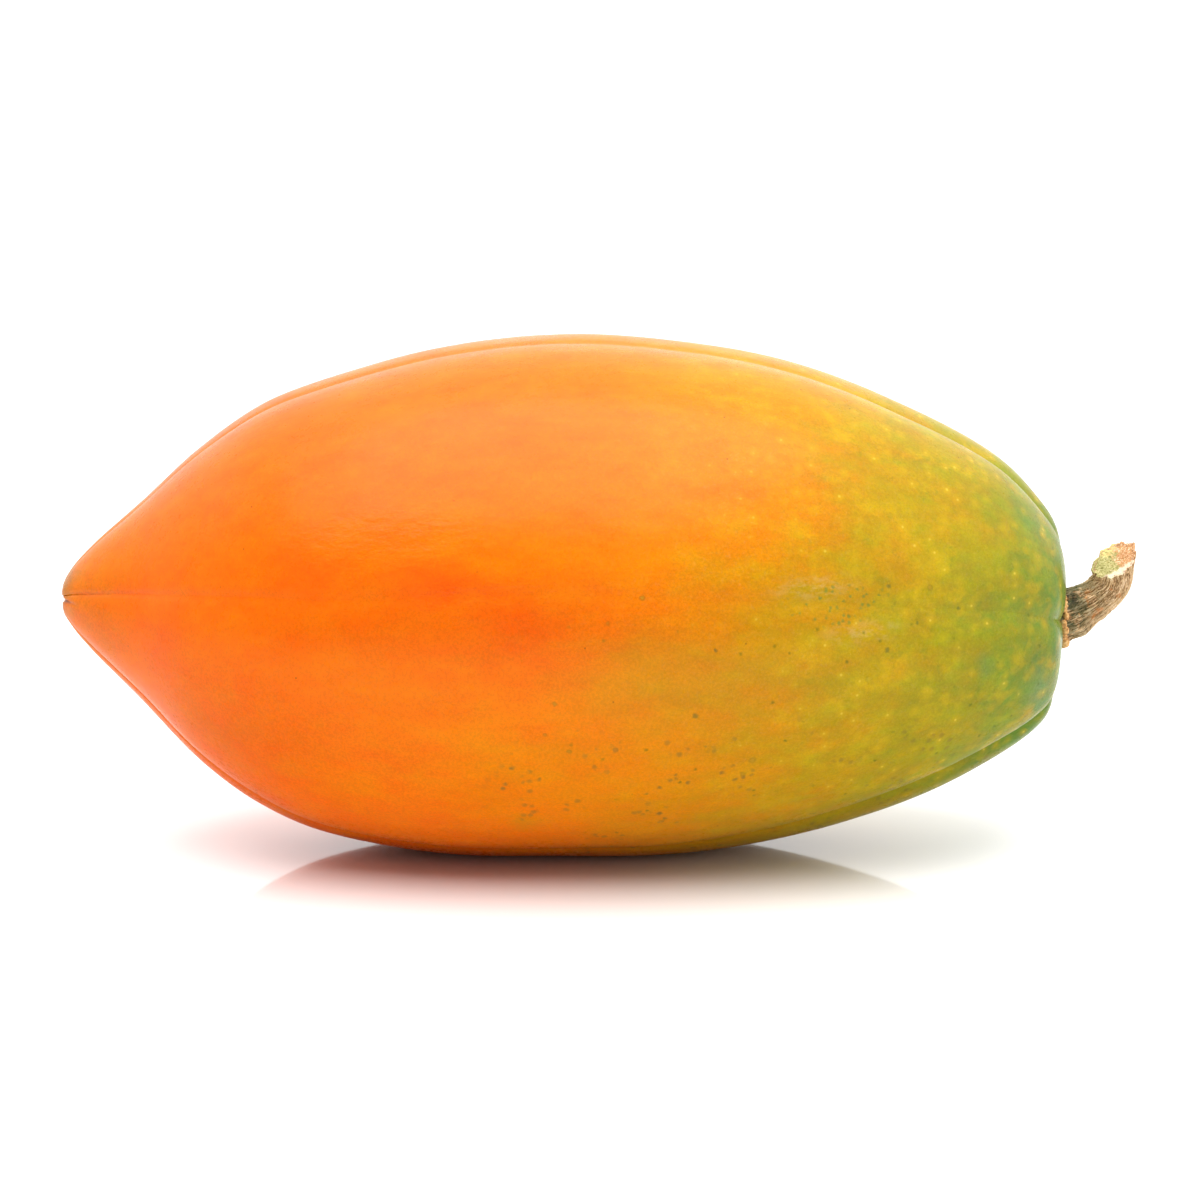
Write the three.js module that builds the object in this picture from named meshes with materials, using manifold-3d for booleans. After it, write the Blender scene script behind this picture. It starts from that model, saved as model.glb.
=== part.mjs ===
// A whole ripe papaya lying on its side, with its cut stalk still on.
// Millimetres, +Z up, +X from the blossom end to the stalk, -Y towards the side that is seen.
// The origin is the middle of the small flat spot that the fruit rests on.

import * as THREE from "three";
import { mergeVertices } from "three/addons/utils/BufferGeometryUtils.js";
import Module from "manifold-3d";

const wasm = await Module();
wasm.setup();

// Driving dimensions
const FRUIT_LENGTH = 215;
const FRUIT_DIAMETER = 112;
const STALK_RADIUS = 3.7; // halfway along the stalk
const BALANCE_SHARE = 0.521; // the fruit balances at this share of its length from the blossom end
const FLAT_DEPTH = 0.9; // how far the rounded underside is pressed flat where the fruit lies
const CLEARANCE = 0.3; // between the stalk and the socket that it grows from

// Half of the lengthwise section, from the blossom end to the basin round the stalk.
// Each row is a share of the length, a share of the half diameter, and in millimetres how deep the grooves
// are there and how far the middle of the fruit stands above its straight axis.
const SECTION = [
  [0.004, 0.0, 0.0, 0.0],
  [0.0, 0.045, 0.3, 0.0],
  [0.008, 0.107, 0.6, 0.1],
  [0.028, 0.198, 0.8, 0.0],
  [0.078, 0.382, 0.9, -0.4],
  [0.137, 0.606, 1.0, -1.1],
  [0.197, 0.771, 1.1, -1.4],
  [0.257, 0.869, 1.1, -1.8],
  [0.376, 0.974, 1.0, -0.8],
  [0.495, 1.004, 0.9, 0.4],
  [0.615, 0.986, 1.0, 0.1],
  [0.734, 0.905, 1.5, -0.1],
  [0.854, 0.742, 2.4, -1.2],
  [0.933, 0.58, 3.0, -1.8],
  [0.973, 0.448, 3.0, -3.1],
  [0.993, 0.338, 2.7, -3.6],
  [1.0, 0.19, 2.2, -4.3],
  [0.996, 0.1, 0.9, -4.7],
  [0.988, 0.0, 0.0, -4.7],
];
const RIM_LEAN = 1.5; // how far the rim of the basin lies back at its lowest point
const LEAN_FROM = 0.79; // share of the section's curve where the lean starts
const LEAN_FULL = 0.87; // where it is full
const LEAN_EASES = 0.93; // where it starts to even out towards the middle of the basin
const ROWS_PER_SPAN = 3; // rings of the mesh between two rows of the section

// The five grooves between the carpels, by their angle in degrees from straight up towards -Y.
// A groove sways aside by sway at mid length and drifts by twist to the stalk end.
// Its share of the depth goes from shares[0] at the blossom end to shares[1] at the stalk end.
const GROOVES = [
  { angle: 2, sway: 0, twist: 3, shares: [1.0, 1.0] },
  { angle: 73, sway: 0, twist: 10, shares: [0.75, 0.35] },
  { angle: 146, sway: 12, twist: -6, shares: [0.9, 0.95] },
  { angle: 217, sway: 0, twist: 2, shares: [0.9, 0.8] },
  { angle: 289, sway: 0, twist: -3, shares: [1.0, 0.9] },
];
const COLUMNS_PER_LOBE = 16;
const CREASE_SHARE = 0.35; // of a groove's depth, what is a narrow crease and not the lobe's own rounding
const CREASE_WIDTH = 0.16; // of half a lobe

// Shallow swells that make no two lobes alike: their height in millimetres, then the waves in radians
// along the fruit and around it, each with where it starts.
const SWELLS = [
  { height: 0.45, along: 9, from: 1.3, around: 2, turned: 0.8 },
  { height: 0.22, along: 17, from: 0.4, around: 5, turned: 2.1 },
];

// The stalk's centre line in millimetres from the middle of the basin, and its thickness there
// as a share of STALK_RADIUS.
const STALK_LINE = [
  { at: [-2.4, 0, -0.6], thick: 1.4 },
  { at: [1.2, 0, 0.2], thick: 1.55 },
  { at: [5.8, -0.3, 2.4], thick: 1.33 },
  { at: [10.05, -0.8, 5.3], thick: 1.14 },
  { at: [12.6, -1.5, 8.3], thick: 1.13 },
  { at: [13.1, -2.6, 12.3], thick: 1.17 },
  { at: [13.4, -4.0, 16.6], thick: 1.2 },
];
const STALK_SIDES = 44;
const STALK_ROWS = 22;

// Lengthwise ridges of the dried bark: how many go round, their height as a share of the radius,
// and how far they wind from the foot to the cut, in radians.
const RIDGES = [
  { count: 11, height: 0.045, wind: 9 },
  { count: 7, height: 0.035, wind: 12 },
  { count: 4, height: 0.025, wind: 3 },
];

// The slanting knife cut across the stalk's tip
const CUT_CENTRE = [12.9, -2.7, 13.5];
const CUT_NORMAL = [-0.36, -0.6, 0.72];
const CUT_BLOCK = 30;

// Corky beads round the stalk's foot
const BEADS = 15;
const BEAD_RADIUS = [0.6, 0.95]; // smallest and largest
const BEAD_STRETCH = [0.9, 1, 1.25]; // along the stalk, round it and out from it
const BEAD_AHEAD = [2.3, 2.8]; // nearest and farthest from the basin along X
const BEAD_RING_RADIUS = 5.7;
const BEAD_SPREAD = 0.6; // share of the spacing that a bead may lie off its place
const BEAD_SEED = 31;

const RADIUS = FRUIT_DIAMETER / 2;
const DEGREE = Math.PI / 180;
const X_AXIS = new THREE.Vector3(1, 0, 0);

// The section's outline as points (along the axis, out from the axis, value of that column of SECTION).
function sectionPoints(column) {
  const rows = SECTION.map((row) => new THREE.Vector3(row[0] * FRUIT_LENGTH, row[1] * RADIUS, row[column]));
  return new THREE.CatmullRomCurve3(rows).getPoints((SECTION.length - 1) * ROWS_PER_SPAN);
}

// The angle of groove number k, counted on past the last one, at a share of the way along the section.
function grooveAngle(k, share) {
  const { angle, sway, twist } = GROOVES[k % GROOVES.length];
  const turns = Math.floor(k / GROOVES.length);
  return (angle + 360 * turns + sway * Math.sin(Math.PI * share) + twist * share) * DEGREE;
}

// How deep the skin lies under the ridge of its lobe: 0 on the ridge, 1 in a groove of full depth.
// side runs from -1 in the groove before the lobe to 1 in the groove after it.
function grooveDepth(lobe, side, along) {
  const { lerp } = THREE.MathUtils;
  const before = lerp(...GROOVES[lobe].shares, along);
  const after = lerp(...GROOVES[(lobe + 1) % GROOVES.length].shares, along);
  const crease = Math.exp(-(((1 - Math.abs(side)) / CREASE_WIDTH) ** 2));
  const shape = (1 - CREASE_SHARE) * Math.abs(side) ** 3 + CREASE_SHARE * crease;
  return lerp(before, after, (side + 1) / 2) * shape;
}

// The height of the swells, which fade out at both ends.
function swellAt(angle, share) {
  let height = 0;
  for (const swell of SWELLS) {
    const alongWave = Math.sin(swell.along * share + swell.from);
    const aroundWave = Math.sin(swell.around * angle + swell.turned);
    height += swell.height * alongWave * aroundWave;
  }
  return height * Math.sin(Math.PI * share);
}

// How far the rim round the basin lies back. It leans back most on the underside.
function rimLean(angle, share) {
  const { smoothstep } = THREE.MathUtils;
  const nearRim = smoothstep(share, LEAN_FROM, LEAN_FULL);
  const offAxis = 1 - smoothstep(share, LEAN_EASES, 1);
  return RIM_LEAN * nearRim * (0.5 - 0.5 * offAxis * Math.cos(angle));
}

// The fruit's skin: the section turned on a lathe, then drawn in along the five grooves and bowed.
function fruitGeometry() {
  const depths = sectionPoints(2);
  const rises = sectionPoints(3);
  const outline = depths.map(({ x, y }) => new THREE.Vector2(Math.max(y, 0), x));
  const fruit = new THREE.LatheGeometry(outline, GROOVES.length * COLUMNS_PER_LOBE);
  fruit.rotateZ(-Math.PI / 2);
  const { position, normal, uv } = fruit.attributes;
  const point = new THREE.Vector3();
  const outwards = new THREE.Vector3();
  for (let i = 0; i < position.count; i++) {
    const around = uv.getX(i) % 1;
    const along = uv.getY(i);
    const lobe = Math.floor(around * GROOVES.length);
    const across = around * GROOVES.length - lobe;
    const angle = THREE.MathUtils.lerp(grooveAngle(lobe, along), grooveAngle(lobe + 1, along), across);
    const turn = angle - around * 2 * Math.PI;
    const row = Math.round(along * (outline.length - 1));
    point.fromBufferAttribute(position, i).applyAxisAngle(X_AXIS, turn);
    outwards.fromBufferAttribute(normal, i).applyAxisAngle(X_AXIS, turn);
    const relief = swellAt(angle, along) - depths[row].z * grooveDepth(lobe, 2 * across - 1, along);
    point.addScaledVector(outwards, relief);
    point.z += rises[row].z;
    point.x -= rimLean(angle, along);
    position.setXYZ(i, point.x, point.y, point.z);
  }
  fruit.computeBoundingBox();
  return fruit;
}

// How far the bark's ridges stand out, as a share of the stalk's radius.
function ridgeAt(angle, share) {
  let height = 0;
  for (const ridge of RIDGES) height += ridge.height * Math.cos(ridge.count * angle + ridge.wind * share);
  return height;
}

// The stalk as a ridged tube along its bent centre line, grown by some millimetres all over.
function stalkTube(grown) {
  const points = STALK_LINE.map(({ at }) => new THREE.Vector3(...at));
  points[0].x -= grown;
  const line = new THREE.CatmullRomCurve3(points);
  const thickness = new THREE.CatmullRomCurve3(
    STALK_LINE.map(({ thick }, i) => new THREE.Vector3(i, thick * STALK_RADIUS, 0)),
    false,
    "catmullrom",
  );
  const frames = line.computeFrenetFrames(STALK_ROWS);
  const tube = new THREE.CylinderGeometry(1, 1, 1, STALK_SIDES, STALK_ROWS);
  const { position } = tube.attributes;
  for (let i = 0; i < position.count; i++) {
    const row = Math.round((position.getY(i) + 0.5) * STALK_ROWS);
    const share = row / STALK_ROWS;
    const side = position.getX(i);
    const up = position.getZ(i);
    const radius = thickness.getPoint(share).y * (1 + ridgeAt(Math.atan2(up, side), share)) + grown;
    const point = line
      .getPoint(share)
      .addScaledVector(frames.binormals[row], side * radius)
      .addScaledVector(frames.normals[row], up * radius);
    position.setXYZ(i, point.x, point.y, point.z);
  }
  return tube;
}

// The corky beads of the ring at the stalk's foot, grown by some millimetres all over.
function beadGeometries(grown) {
  const { lerp, seededRandom } = THREE.MathUtils;
  const beads = [];
  seededRandom(BEAD_SEED);
  for (let number = 0; number < BEADS; number++) {
    const angle = ((number + BEAD_SPREAD * seededRandom()) / BEADS) * 2 * Math.PI;
    const bead = new THREE.IcosahedronGeometry(lerp(...BEAD_RADIUS, seededRandom()) + grown, 0);
    bead.scale(...BEAD_STRETCH);
    bead.translate(lerp(...BEAD_AHEAD, seededRandom()), 0, BEAD_RING_RADIUS);
    bead.rotateX(angle);
    beads.push(bead);
  }
  return beads;
}

// A closed geometry as a solid that can be joined and cut.
function toSolid(geometry) {
  const bare = geometry.clone();
  bare.deleteAttribute("normal");
  bare.deleteAttribute("uv");
  const { index, attributes } = mergeVertices(bare, 1e-4);
  const faces = [];
  for (let i = 0; i < index.count; i += 3) {
    const [a, b, c] = index.array.slice(i, i + 3);
    // A lathe's ends hold triangles with two corners on the axis, which have no area.
    if (a !== b && b !== c && c !== a) faces.push(a, b, c);
  }
  return new wasm.Manifold(
    new wasm.Mesh({
      numProp: 3,
      vertProperties: attributes.position.array,
      triVerts: new Uint32Array(faces),
    }),
  );
}

// A solid as a flat-shaded geometry.
function toGeometry(solid) {
  const mesh = solid.getMesh();
  const geometry = new THREE.BufferGeometry()
    .setAttribute("position", new THREE.BufferAttribute(mesh.vertProperties, 3))
    .setIndex(new THREE.BufferAttribute(mesh.triVerts, 1))
    .toNonIndexed();
  geometry.computeVertexNormals();
  return geometry;
}

// The block that the knife cut takes away from the stalk's tip.
function cutBlock() {
  const normal = new THREE.Vector3(...CUT_NORMAL).normalize();
  const block = new THREE.BoxGeometry(CUT_BLOCK, CUT_BLOCK, CUT_BLOCK);
  block.translate(0, 0, CUT_BLOCK / 2);
  block.applyQuaternion(new THREE.Quaternion().setFromUnitVectors(new THREE.Vector3(0, 0, 1), normal));
  block.translate(...CUT_CENTRE);
  return block;
}

// The stalk with its corky foot. Grown by the clearance, it is the socket in the fruit.
function stalkSolid(grown) {
  const tube = toSolid(stalkTube(grown));
  const withBeads = beadGeometries(grown).reduce((solid, bead) => solid.add(toSolid(bead)), tube);
  return withBeads.subtract(toSolid(cutBlock()));
}

const skin = fruitGeometry();
const axisHeight = -skin.boundingBox.min.z - FLAT_DEPTH;
const balance = BALANCE_SHARE * FRUIT_LENGTH;
const [basinShare, , , basinRise] = SECTION.at(-1);
const basin = new THREE.Vector3(basinShare * FRUIT_LENGTH - balance, 0, axisHeight + basinRise);

skin.translate(-balance, 0, axisHeight);
const socket = stalkSolid(CLEARANCE).translate(basin.toArray());

// What would reach below the surface that the fruit lies on is pressed flat.
const lying = toSolid(skin).trimByPlane([0, 0, 1], 0);
const fruit = new THREE.Mesh(
  toGeometry(lying.subtract(socket)),
  new THREE.MeshStandardMaterial({ color: 0xf28a2a, roughness: 0.42, metalness: 0 }),
);
fruit.name = "fruit";

const stalk = new THREE.Mesh(
  toGeometry(stalkSolid(0)),
  new THREE.MeshStandardMaterial({ color: 0x8d7450, roughness: 0.85, metalness: 0 }),
);
stalk.name = "stalk";
stalk.position.copy(basin);

const papaya = new THREE.Group();
papaya.add(fruit, stalk);

export default papaya;
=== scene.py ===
# %% [markdown]
# # A ripe papaya on a white table
# This lesson dresses a whole papaya: a ribbed, oval fruit that ripens from orange at its pointed blossom
# end to green at its stalk, lying on its side on a glossy white table. The frame that is loaded first holds
# the plain solids at their real size. Each step below makes one piece of the real thing in their place, in
# metres, with +X along the fruit to the stalk, -Y towards the viewer and +Z up.

# %% Load the frame
import math

import bmesh
import bpy
import mathutils
from mathutils import Matrix, Vector


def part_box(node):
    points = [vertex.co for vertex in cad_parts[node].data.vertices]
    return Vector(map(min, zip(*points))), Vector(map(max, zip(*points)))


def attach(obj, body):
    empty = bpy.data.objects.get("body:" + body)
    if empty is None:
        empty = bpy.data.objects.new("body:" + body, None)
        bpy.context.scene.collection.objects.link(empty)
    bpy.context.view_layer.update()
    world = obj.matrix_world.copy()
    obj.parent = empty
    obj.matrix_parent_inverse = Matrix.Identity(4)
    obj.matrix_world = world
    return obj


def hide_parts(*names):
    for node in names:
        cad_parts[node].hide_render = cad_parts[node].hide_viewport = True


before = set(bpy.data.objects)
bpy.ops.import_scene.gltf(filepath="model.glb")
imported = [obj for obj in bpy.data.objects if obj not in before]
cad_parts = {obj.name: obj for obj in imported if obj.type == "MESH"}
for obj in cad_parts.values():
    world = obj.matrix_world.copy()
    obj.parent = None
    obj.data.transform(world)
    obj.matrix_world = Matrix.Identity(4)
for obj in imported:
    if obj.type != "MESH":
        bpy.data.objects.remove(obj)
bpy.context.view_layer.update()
MM = 0.001
DEGREE = math.pi / 180
print("solids in the frame:", sorted(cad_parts))

# %% [markdown]
# ## Camera, table and light
# The fruit was photographed from a little above with a long lens, on a table so bright that it melts into
# the white room behind it. A white world does most of that: it fills the picture and lights the skin from
# behind and from the right, and less from the camera's side. One large soft lamp above gives the lighter
# upper side, and the table's thin gloss mirrors the dark belly for a hand's breadth in front of it. The
# camera is aimed so that its frame needs no lens shift.

# %% Camera
CAMERA_TARGET = Vector((3.35 * MM, 0, 54.1 * MM))
CAMERA_DISTANCE = 1.2
CAMERA_ELEVATION = 12 * DEGREE
CAMERA_VIEW_ANGLE = 12.265 * DEGREE

camera = bpy.data.objects.new("camera", bpy.data.cameras.new("camera"))
bpy.context.scene.collection.objects.link(camera)
towards_camera = Vector((0, -math.cos(CAMERA_ELEVATION), math.sin(CAMERA_ELEVATION)))
camera.location = CAMERA_TARGET + CAMERA_DISTANCE * towards_camera
camera.rotation_euler = (-towards_camera).to_track_quat("-Z", "Y").to_euler()
camera.data.angle = CAMERA_VIEW_ANGLE
bpy.context.scene.camera = camera
bpy.context.scene.view_settings.view_transform = "Standard"
print("camera stands", round(camera.location.length, 3), "m away")


# %% [markdown]
# ## Words for building node trees
# Node trees are easier to read as formulas than as lists of nodes and links. A Wire stands for a value that
# flows through a tree, and plain arithmetic on it adds the Math nodes. The few helpers after it add a node,
# plug values into it and name its inputs, for materials and for geometry alike.

# %% Wires and nodes
def open_socket(sockets, key):
    """The socket of that name or number. Nodes also keep hidden sockets for their other kinds of value."""
    if isinstance(key, int):
        return sockets[key]
    return next(socket for socket in sockets if socket.name == key and socket.enabled)


def plug(tree, value, socket):
    """Links a wire to a socket, or sets the socket's own value."""
    if isinstance(value, Wire):
        tree.links.new(value.socket, socket)
    else:
        socket.default_value = value


def put(tree, kind, inputs=None, output=0, **settings):
    """Adds a node with its settings and inputs, and returns one of its outputs as a wire."""
    node = tree.nodes.new(kind)
    for name, value in settings.items():
        setattr(node, name, value)
    for key, value in (inputs or {}).items():
        plug(tree, value, open_socket(node.inputs, key))
    return Wire(tree, open_socket(node.outputs, output)) if len(node.outputs) else node


def sum_up(operation, swapped=False):
    """A method of Wire that adds one Math node."""

    def method(wire, *others):
        values = (*others, wire) if swapped else (wire, *others)
        return put(wire.tree, "ShaderNodeMath", dict(enumerate(values)), operation=operation)

    return method


class Wire:
    """A value that flows through a node tree. Arithmetic on it adds Math nodes."""

    def __init__(self, tree, socket):
        self.tree = tree
        self.socket = socket

    def other(self, key):
        """Another output of the node that this wire comes from."""
        return Wire(self.tree, open_socket(self.socket.node.outputs, key))

    __add__ = __radd__ = sum_up("ADD")
    __mul__ = __rmul__ = sum_up("MULTIPLY")
    __sub__ = sum_up("SUBTRACT")
    __rsub__ = sum_up("SUBTRACT", swapped=True)
    __truediv__ = sum_up("DIVIDE")
    __rtruediv__ = sum_up("DIVIDE", swapped=True)
    __pow__ = sum_up("POWER")
    sine = sum_up("SINE")
    cosine = sum_up("COSINE")
    floor = sum_up("FLOOR")
    round = sum_up("ROUND")
    size = sum_up("ABSOLUTE")
    exp = sum_up("EXPONENT")
    least = sum_up("MINIMUM")
    most = sum_up("MAXIMUM")
    angle_from = sum_up("ARCTAN2")

    def ramp(self, low, high, start=0.0, end=1.0):
        """Goes smoothly from start to end while this value goes from low to high."""
        limits = {"Value": self, "From Min": low, "From Max": high, "To Min": start, "To Max": end}
        return put(self.tree, "ShaderNodeMapRange", limits, interpolation_type="SMOOTHSTEP")


def split(wire):
    """The X, Y and Z of a vector."""
    x = put(wire.tree, "ShaderNodeSeparateXYZ", {0: wire})
    return x, x.other("Y"), x.other("Z")


def join(tree, x, y, z):
    """The vector with that X, Y and Z."""
    return put(tree, "ShaderNodeCombineXYZ", {"X": x, "Y": y, "Z": z})


def vector_math(operation, *vectors, output=0, **inputs):
    """One Vector Math node on some vectors, the first of them a wire."""
    inputs = dict(enumerate(vectors)) | inputs
    return put(vectors[0].tree, "ShaderNodeVectorMath", inputs, output, operation=operation)


def stored(tree, label, output="Fac"):
    """A value that the geometry carries at each point, as the material reads it."""
    return put(tree, "ShaderNodeAttribute", {}, output, attribute_name=label)


def lerp(a, b, share):
    return a + (b - a) * share


# %% Geometry trees
SOCKETS = {int: "NodeSocketInt", float: "NodeSocketFloat"}


def geometry_tree(name, sizes, holders=()):
    """A geometry tree with a named input for each size and each object or material, and its wires."""
    tree = bpy.data.node_groups.new(name, "GeometryNodeTree")
    tree.interface.new_socket("Geometry", in_out="OUTPUT", socket_type="NodeSocketGeometry")
    tree.interface.new_socket("Geometry", in_out="INPUT", socket_type="NodeSocketGeometry")
    for label, value in sizes.items():
        socket = tree.interface.new_socket(label, in_out="INPUT", socket_type=SOCKETS[type(value)])
        socket.default_value = value
    for label, kind in holders:
        tree.interface.new_socket(label, in_out="INPUT", socket_type=kind)
    tree.interface.new_socket("Material", in_out="INPUT", socket_type="NodeSocketMaterial")
    inlet = tree.nodes.new("NodeGroupInput")
    wires = {socket.name: Wire(tree, socket) for socket in inlet.outputs if socket.name}
    return tree, wires


def finish_tree(tree, geometry, wires):
    """Ends a tree: real copies, smooth faces and the material."""
    real = put(tree, "GeometryNodeRealizeInstances", {"Geometry": geometry})
    smooth = put(tree, "GeometryNodeSetShadeSmooth", {"Geometry": real})
    painted = put(tree, "GeometryNodeSetMaterial", {"Geometry": smooth, "Material": wires["Material"]})
    plug(tree, painted, tree.nodes.new("NodeGroupOutput").inputs[0])


def run_tree(name, tree, source, material, **given):
    """Runs a geometry tree on a mesh or a curve, and returns what it makes as a plain mesh object."""
    carrier = bpy.data.objects.new(name + "_carrier", source)
    bpy.context.scene.collection.objects.link(carrier)
    modifier = carrier.modifiers.new(tree.name, "NODES")
    modifier.node_group = tree
    values = {"Material": material, **given}
    for socket in tree.interface.items_tree:
        if socket.in_out == "INPUT" and socket.name in values:
            modifier[socket.identifier] = values[socket.name]
    depsgraph = bpy.context.evaluated_depsgraph_get()
    mesh = bpy.data.meshes.new_from_object(carrier.evaluated_get(depsgraph), depsgraph=depsgraph)
    bpy.data.objects.remove(carrier)
    mesh.name = name
    print(name, "carries the materials", [slot.name if slot else None for slot in mesh.materials])
    return link_piece(name, mesh)


def link_piece(name, mesh):
    piece = bpy.data.objects.new(name, mesh)
    bpy.context.scene.collection.objects.link(piece)
    return piece


def table_mesh(name, points, edges=(), **columns):
    """A mesh that only carries numbers: its points, and a named value or vector at each of them."""
    mesh = bpy.data.meshes.new(name)
    mesh.from_pydata(points, edges, [])
    for label, values in columns.items():
        if isinstance(values[0], float):
            mesh.attributes.new(label, "FLOAT", "POINT").data.foreach_set("value", values)
        else:
            flat = [number for vector in values for number in vector]
            mesh.attributes.new(label, "FLOAT_VECTOR", "POINT").data.foreach_set("vector", flat)
    return mesh


def sample(table, label, index, kind="FLOAT"):
    """The named value at one point of a table that is in the tree as geometry."""
    value = put(table.tree, "GeometryNodeInputNamedAttribute", {"Name": label}, data_type=kind)
    inputs = {"Geometry": table, "Value": value, "Index": index}
    return put(table.tree, "GeometryNodeSampleIndex", inputs, data_type=kind, domain="POINT")


def store(geometry, label, value, kind="FLOAT"):
    """The geometry with a named value at each point, for its material to read."""
    inputs = {"Geometry": geometry, "Name": label, "Value": value}
    return put(geometry.tree, "GeometryNodeStoreNamedAttribute", inputs, data_type=kind, domain="POINT")


# %% Material trees
def srgb(red, green, blue):
    """A colour as the screen shows it, 0 to 255, as the linear colour that a shader reads."""
    shares = (value / 255 for value in (red, green, blue))
    return (*(s / 12.92 if s <= 0.04045 else ((s + 0.055) / 1.055) ** 2.4 for s in shares), 1.0)


def new_material(name):
    """A material's tree, its shader and the place of each point on the object."""
    material = bpy.data.materials.new(name)
    material.use_nodes = True
    tree = material.node_tree
    shader = tree.nodes["Principled BSDF"]
    place = put(tree, "ShaderNodeTexCoord", output="Object")
    return material, tree, shader, place


def noise(place, size, detail=2.0, roughness=0.5, distortion=0.0):
    """Cloudy noise round 0.5, with clouds of about that size in metres."""
    inputs = {"Vector": place, "Scale": 1 / size, "Detail": detail}
    inputs |= {"Roughness": roughness, "Distortion": distortion}
    return put(place.tree, "ShaderNodeTexNoise", inputs)


def cells(place, spacing):
    """How far the nearest of some scattered points is, and its own random number. Spacing is in metres."""
    near = put(place.tree, "ShaderNodeTexVoronoi", {"Vector": place, "Scale": 1 / spacing}, "Distance")
    return near, split(near.other("Color"))[0]


def stretched(place, scale):
    """The place, scaled along each axis. A pattern on it is drawn out where the scale is below 1."""
    return vector_math("MULTIPLY", place, scale)


def mixed(share, a, b, how="MIX"):
    """Two colours mixed, the first of them a wire."""
    inputs = {"Factor": share, "A": a, "B": b}
    return put(a.tree, "ShaderNodeMix", inputs, "Result", data_type="RGBA", blend_type=how)


def colours(share, *stops):
    """The colour that a share falls on, in a row of (place, colour) stops."""
    wire = put(share.tree, "ShaderNodeValToRGB", {"Fac": share}, "Color")
    ramp = wire.socket.node.color_ramp
    for place, _ in stops[2:]:
        ramp.elements.new(place)
    for element, (place, colour) in zip(ramp.elements, stops):
        element.position = place
        element.color = colour
    return wire


def bumped(tree, shader, height, distance):
    """Gives a shader fine relief: height is 0 to 1, and distance is the relief's size in metres."""
    plug(tree, put(tree, "ShaderNodeBump", {"Height": height, "Distance": distance}), shader.inputs["Normal"])


# %% [markdown]
# ## Table and lamps
# The table is a plane with a thin gloss over white. It counts as the stage and not as part of the papaya.

# %% Table and lamps
TABLE_SIZE = 30.0
WHITE_SIDE = 1.5
DIM_SIDE = 0.25
RIGHT_SHARE = 0.5  # how much the right counts as the white side, beside the back


def add_table():
    mesh = bpy.data.meshes.new("table")
    half = TABLE_SIZE / 2
    corners = [(-half, -half, 0), (half, -half, 0), (half, half, 0), (-half, half, 0)]
    mesh.from_pydata(corners, [], [(0, 1, 2, 3)])
    material, _, shader, _ = new_material("white acrylic")
    shader.inputs["Base Color"].default_value = (0.92, 0.92, 0.92, 1)
    shader.inputs["Roughness"].default_value = 0.06
    mesh.materials.append(material)
    table = link_piece("table", mesh)


def add_lamp(name, place, size, power):
    """A square soft lamp that shines at the middle of the fruit."""
    data = bpy.data.lights.new(name, "AREA")
    data.shape = "SQUARE"
    data.size = size
    data.energy = power
    lamp = bpy.data.objects.new(name, data)
    lamp.location = place
    lamp.rotation_euler = (CAMERA_TARGET - Vector(place)).to_track_quat("-Z", "Y").to_euler()
    bpy.context.scene.collection.objects.link(lamp)


def white_room():
    """A white world that is dimmer on the camera's side and on the left, as the photo's light is."""
    world = bpy.data.worlds.new("white room")
    world.use_nodes = True
    tree = world.node_tree
    x, y, _ = split(put(tree, "ShaderNodeTexCoord", output="Generated"))
    background = tree.nodes["Background"]
    towards_white = y + x * RIGHT_SHARE
    plug(tree, towards_white.ramp(-0.9, 0.2, DIM_SIDE, WHITE_SIDE), background.inputs["Strength"])
    background.inputs["Color"].default_value = (1, 1, 1, 1)
    bpy.context.scene.world = world


white_room()
add_table()
add_lamp("softbox above", (-0.1, -0.3, 1.25), 1.4, 26.0)
print("lit by", sorted(light.name for light in bpy.data.lights))

# %% [markdown]
# ## The fruit's section
# A papaya is nearly a turned shape, so its skin starts from half of its lengthwise section, as a potter's
# template would. The rows below give the outline, how deep the grooves between the carpels are at each
# place, and how far the fruit's middle bows off its axis. A centripetal Catmull-Rom curve runs through them
# without overshooting, and its points are taken closer together at both ends, where the skin turns fastest.

# %% Section
FRUIT_LENGTH = 215 * MM
FRUIT_RADIUS = 56 * MM
# share of the length, share of the radius, groove depth and rise of the middle in millimetres
SECTION = [
    (0.004, 0.0, 0.0, 0.0),
    (0.0, 0.045, 0.3, 0.0),
    (0.008, 0.107, 0.6, 0.1),
    (0.028, 0.198, 0.8, 0.0),
    (0.078, 0.382, 0.9, -0.4),
    (0.137, 0.606, 1.0, -1.1),
    (0.197, 0.771, 1.1, -1.4),
    (0.257, 0.869, 1.1, -1.8),
    (0.376, 0.974, 1.0, -0.8),
    (0.495, 1.004, 0.9, 0.4),
    (0.615, 0.986, 1.0, 0.1),
    (0.734, 0.905, 1.5, -0.1),
    (0.854, 0.742, 2.4, -1.2),
    (0.933, 0.58, 3.0, -1.8),
    (0.973, 0.448, 3.0, -3.1),
    (0.993, 0.338, 2.7, -3.6),
    (1.0, 0.19, 2.2, -4.3),
    (0.996, 0.1, 0.9, -4.7),
    (0.988, 0.0, 0.0, -4.7),
]


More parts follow.
